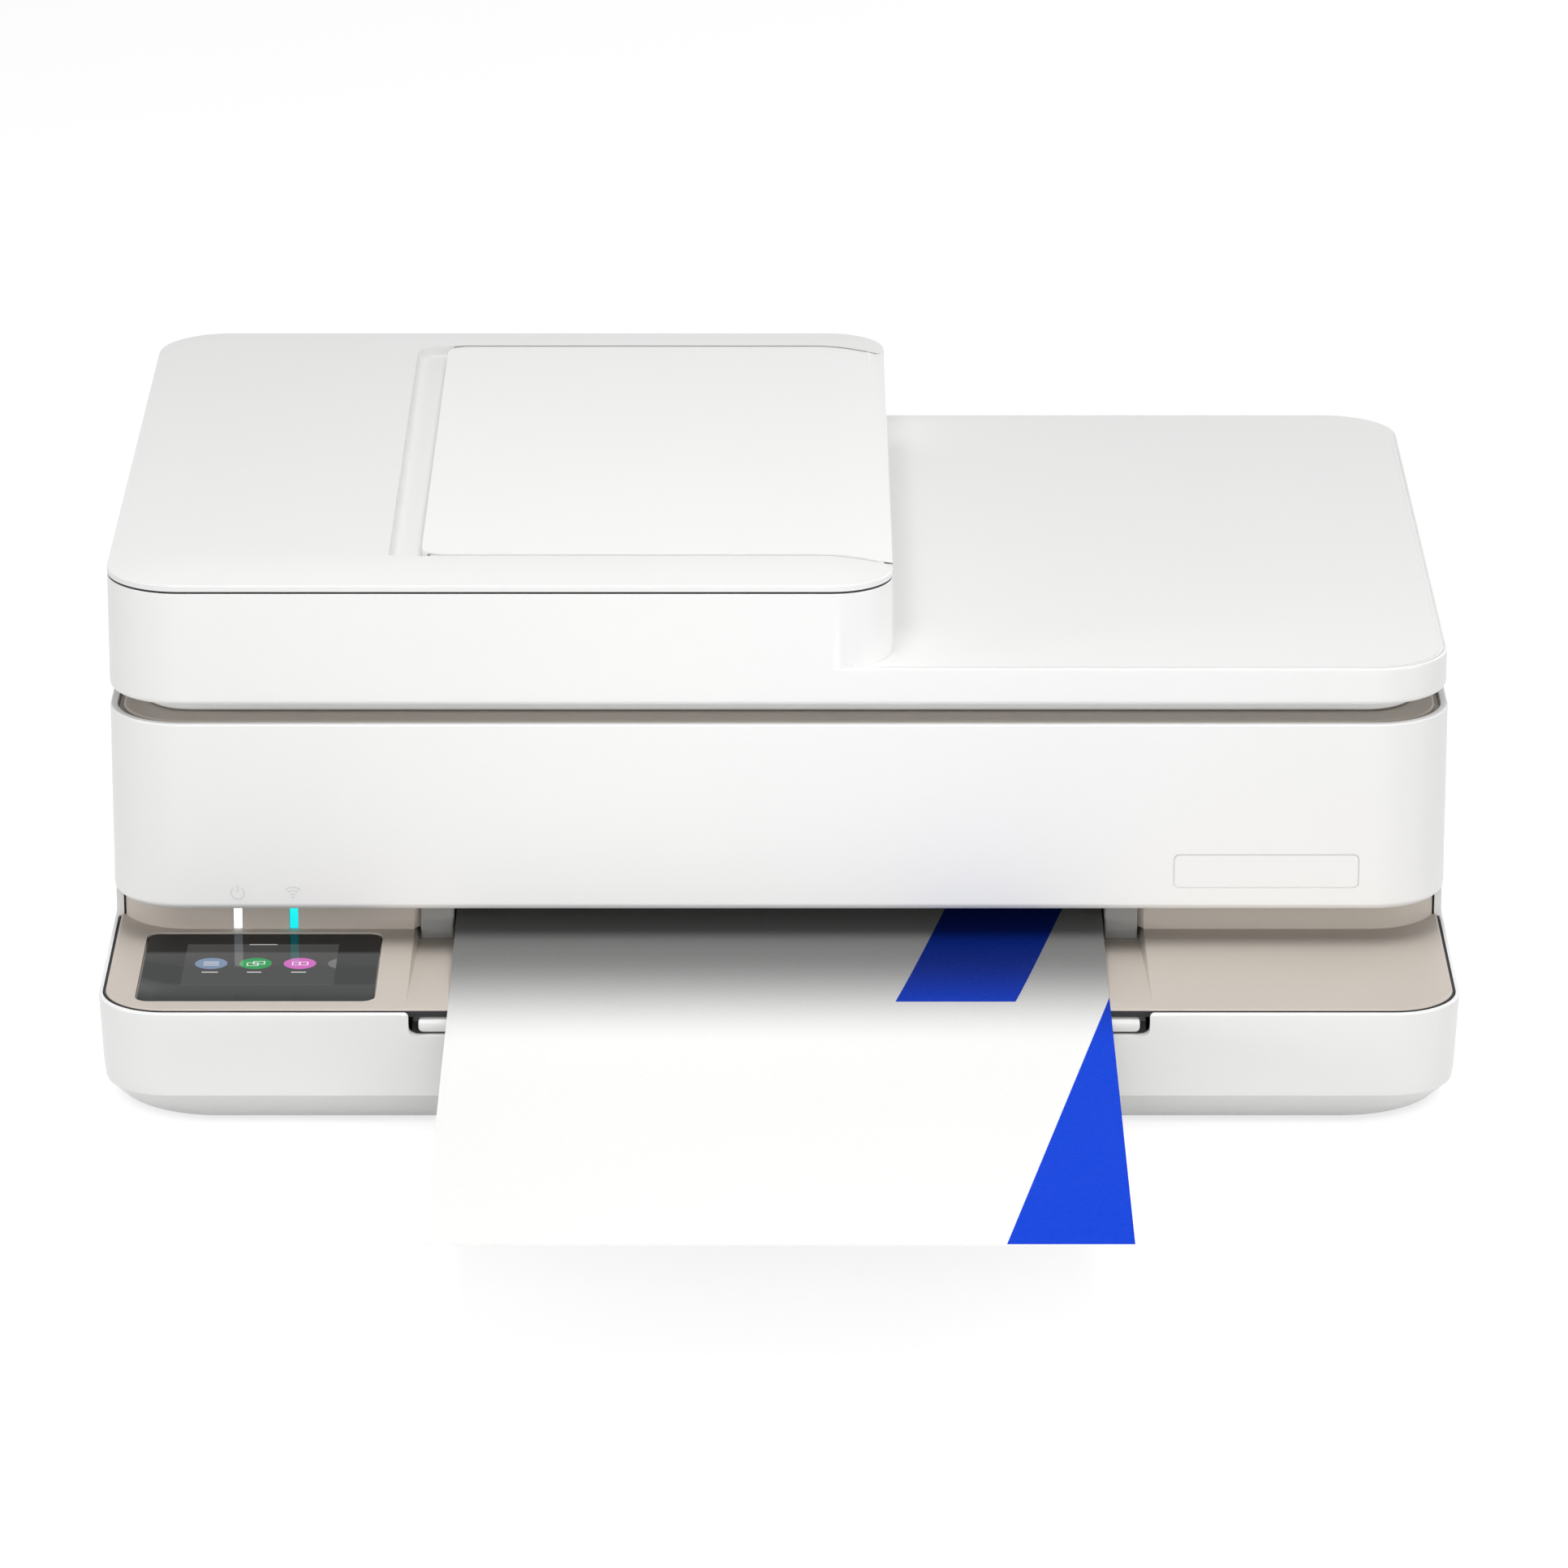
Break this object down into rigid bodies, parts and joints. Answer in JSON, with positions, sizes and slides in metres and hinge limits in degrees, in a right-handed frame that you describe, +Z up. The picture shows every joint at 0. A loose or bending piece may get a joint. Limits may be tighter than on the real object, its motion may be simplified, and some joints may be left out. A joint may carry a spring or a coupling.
{
  "type": "inkjet printer",
  "caption": "All-in-one inkjet printer: lower casing with paper drawer and touch panel, lift-up scanner unit, lid with sheet feeder, and a printed sheet leaving the slot.",
  "frame": {"origin": "on the table under the middle of the bounding box, sheet included", "axes": "+X to the right of a user facing the machine, +Y from its front to its back, +Z up"},
  "size_m": [0.434, 0.5604, 0.1684],
  "materials": {
    "white_shell": "fine-textured white",
    "beige_deck": "satin warm beige-grey",
    "grey_plastic": "satin mid grey",
    "pale_grey": "matte pale grey",
    "black_plastic": "satin black",
    "ink_tank": "satin charcoal",
    "touch_glass": "glossy near-black",
    "display": "dark display",
    "light_white": "translucent white",
    "light_blue": "translucent blue",
    "scan_glass": "clear glass",
    "white_pad": "white foam-backed sheet",
    "paper": "uncoated white paper",
    "steel": "zinc-plated sheet",
    "rubber": "matte black rubber",
    "brass": "plain brass",
    "circuit_board": "green solder mask"
  },
  "bodies": {
    "base": {"side_panel_left": "white_shell", "side_panel_right": "white_shell", "rear_panel": "white_shell", "bottom_pan": "grey_plastic", "control_deck": "beige_deck", "touch_glass": "touch_glass", "display_module": "display", "power_light": "light_white", "wireless_light": "light_blue", "exit_bridge": "grey_plastic", "upper_hinge_left": "steel", "upper_hinge_right": "steel", "engine_frame": "steel", "carriage_rail": "steel", "drive_motor": "steel", "carriage_motor": "steel", "carriage_belt": "rubber", "platen": "black_plastic", "turn_guide": "black_plastic", "service_station": "black_plastic", "main_board": "circuit_board", "power_supply": "black_plastic"},
    "upper_unit": {"front_cover": "white_shell", "scanner_bed": "beige_deck", "scanner_glass": "scan_glass"},
    "scan_bar": {"scan_bar": "black_plastic"},
    "lid_hinges": {"lid_post_left": "pale_grey", "lid_post_right": "pale_grey"},
    "lid": {"lid_shell": "white_shell", "lid_frame": "pale_grey", "lid_pad": "white_pad", "feeder_ramp": "white_shell"},
    "feeder_cover": {"feeder_cover": "white_shell"},
    "feeder_flap": {"feeder_flap": "white_shell"},
    "feeder_guide_front": {"feeder_guide_front": "pale_grey"},
    "feeder_guide_rear": {"feeder_guide_rear": "pale_grey"},
    "feeder_roller": {"feeder_roller": "rubber"},
    "drawer": {"drawer_front": "white_shell", "paper_tray": "pale_grey", "paper_stack": "paper"},
    "paper_guide_left": {"paper_guide_left": "pale_grey"},
    "paper_guide_right": {"paper_guide_right": "pale_grey"},
    "paper_guide_rear": {"paper_guide_rear": "pale_grey"},
    "output_extender": {"output_extender": "white_shell"},
    "sheet": {"printed_sheet": "paper"},
    "feed_roller": {"feed_roller": "rubber"},
    "exit_roller": {"exit_roller": "rubber"},
    "transfer_gear": {"transfer_gear": "grey_plastic"},
    "drive_pinion": {"drive_pinion": "brass"},
    "pick_roller": {"pick_roller": "rubber"},
    "carriage": {"carriage": "black_plastic", "cartridge_left": "black_plastic", "cartridge_right": "ink_tank"},
    "latch_left": {"latch_left": "grey_plastic"},
    "latch_right": {"latch_right": "grey_plastic"},
    "drive_pulley": {"drive_pulley": "grey_plastic"},
    "idle_pulley": {"idle_pulley": "grey_plastic"},
    "service_sled": {"service_sled": "grey_plastic"},
    "power_button": {"power_button": "white_shell"},
    "wifi_button": {"wifi_button": "white_shell"}
  },
  "joints": [
    {"name": "upper_open", "type": "hinge", "parent": "base", "child": "upper_unit", "pos_m": [0, 0.27118, 0.061], "axis": [-1, 0, 0], "range_deg": [0, 35]},
    {"name": "scan_travel", "type": "slide", "parent": "upper_unit", "child": "scan_bar", "axis": [1, 0, 0], "range_m": [0, 0.31]},
    {"name": "lid_lift", "type": "slide", "parent": "upper_unit", "child": "lid_hinges", "axis": [0, 0, 1], "range_m": [0, 0.01]},
    {"name": "lid_open", "type": "hinge", "parent": "lid_hinges", "child": "lid", "pos_m": [0, 0.26868, 0.1295], "axis": [-1, 0, 0], "range_deg": [0, 72]},
    {"name": "feeder_cover_open", "type": "hinge", "parent": "lid", "child": "feeder_cover", "pos_m": [-0.216, 0.12518, 0.16245], "axis": [0, -1, 0], "range_deg": [0, 60]},
    {"name": "flap_open", "type": "hinge", "parent": "feeder_cover", "child": "feeder_flap", "pos_m": [0.0305, 0.12563, 0.1636], "axis": [0, 1, 0], "range_deg": [0, 150]},
    {"name": "feeder_guide_front_slide", "type": "slide", "parent": "lid", "child": "feeder_guide_front", "axis": [0, 1, 0], "range_m": [0, 0.045]},
    {"name": "feeder_guide_rear_slide", "type": "slide", "parent": "lid", "child": "feeder_guide_rear", "axis": [0, -1, 0], "range_m": [0, 0.045]},
    {"name": "feeder_roller_spin", "type": "hinge", "parent": "lid", "child": "feeder_roller", "pos_m": [-0.096, 0.12563, 0.152], "axis": [0, 1, 0], "continuous": true},
    {"name": "drawer_slide", "type": "slide", "parent": "base", "child": "drawer", "axis": [0, -1, 0], "range_m": [0, 0.2]},
    {"name": "paper_guide_left_slide", "type": "slide", "parent": "drawer", "child": "paper_guide_left", "axis": [-1, 0, 0], "range_m": [0, 0.007]},
    {"name": "paper_guide_right_slide", "type": "slide", "parent": "drawer", "child": "paper_guide_right", "axis": [1, 0, 0], "range_m": [0, 0.007]},
    {"name": "paper_guide_rear_slide", "type": "slide", "parent": "drawer", "child": "paper_guide_rear", "axis": [0, 1, 0], "range_m": [0, 0.008]},
    {"name": "extender_slide", "type": "slide", "parent": "base", "child": "output_extender", "axis": [0, -1, 0], "range_m": [0, 0.13]},
    {"name": "sheet_slide", "type": "slide", "parent": "base", "child": "sheet", "axis": [0, -1, 0], "range_m": [0, 0.1]},
    {"name": "feed_roller_spin", "type": "hinge", "parent": "base", "child": "feed_roller", "pos_m": [0, 0.10368, 0.046], "axis": [1, 0, 0], "continuous": true},
    {"name": "exit_roller_spin", "type": "hinge", "parent": "base", "child": "exit_roller", "pos_m": [0, 0.01618, 0.0422], "axis": [1, 0, 0], "continuous": true},
    {"name": "transfer_gear_spin", "type": "hinge", "parent": "base", "child": "transfer_gear", "pos_m": [-0.188, 0.05573, 0.04818], "axis": [1, 0, 0], "continuous": true},
    {"name": "pinion_spin", "type": "hinge", "parent": "base", "child": "drive_pinion", "pos_m": [-0.18, 0.09916, 0.02039], "axis": [1, 0, 0], "continuous": true},
    {"name": "pick_roller_spin", "type": "hinge", "parent": "base", "child": "pick_roller", "pos_m": [0, 0.18118, 0.0414], "axis": [1, 0, 0], "continuous": true},
    {"name": "carriage_travel", "type": "slide", "parent": "base", "child": "carriage", "axis": [-1, 0, 0], "range_m": [0, 0.264]},
    {"name": "latch_left_open", "type": "hinge", "parent": "carriage", "child": "latch_left", "pos_m": [0.119, 0.04718, 0.0833], "axis": [-1, 0, 0], "range_deg": [0, 35]},
    {"name": "latch_right_open", "type": "hinge", "parent": "carriage", "child": "latch_right", "pos_m": [0.152, 0.04718, 0.0833], "axis": [-1, 0, 0], "range_deg": [0, 35]},
    {"name": "drive_pulley_spin", "type": "hinge", "parent": "base", "child": "drive_pulley", "pos_m": [0.172, 0.11768, 0.071], "axis": [0, 1, 0], "range_deg": [0, 2300]},
    {"name": "idle_pulley_spin", "type": "hinge", "parent": "base", "child": "idle_pulley", "pos_m": [-0.172, 0.11768, 0.071], "axis": [0, 1, 0], "range_deg": [0, 2300]},
    {"name": "sled_travel", "type": "slide", "parent": "base", "child": "service_sled", "axis": [1, 0, 0], "range_m": [0, 0.006]},
    {"name": "power_button_press", "type": "slide", "parent": "base", "child": "power_button", "axis": [0, -1, 0], "range_m": [0, 0.0015], "stiffness_N_per_m": 300},
    {"name": "wifi_button_press", "type": "slide", "parent": "base", "child": "wifi_button", "axis": [0, -1, 0], "range_m": [0, 0.0015], "stiffness_N_per_m": 300}
  ],
  "couplings": [
    {"joint": "exit_roller_spin", "follows": "feed_roller_spin", "ratio": 1.8},
    {"joint": "transfer_gear_spin", "follows": "feed_roller_spin", "ratio": -0.6},
    {"joint": "pinion_spin", "follows": "feed_roller_spin", "ratio": -2.25},
    {"joint": "feeder_guide_rear_slide", "follows": "feeder_guide_front_slide", "ratio": 1},
    {"joint": "paper_guide_right_slide", "follows": "paper_guide_left_slide", "ratio": 1},
    {"joint": "drive_pulley_spin", "follows": "carriage_travel", "rad_per_m": 147.06},
    {"joint": "idle_pulley_spin", "follows": "carriage_travel", "rad_per_m": 147.06}
  ]
}
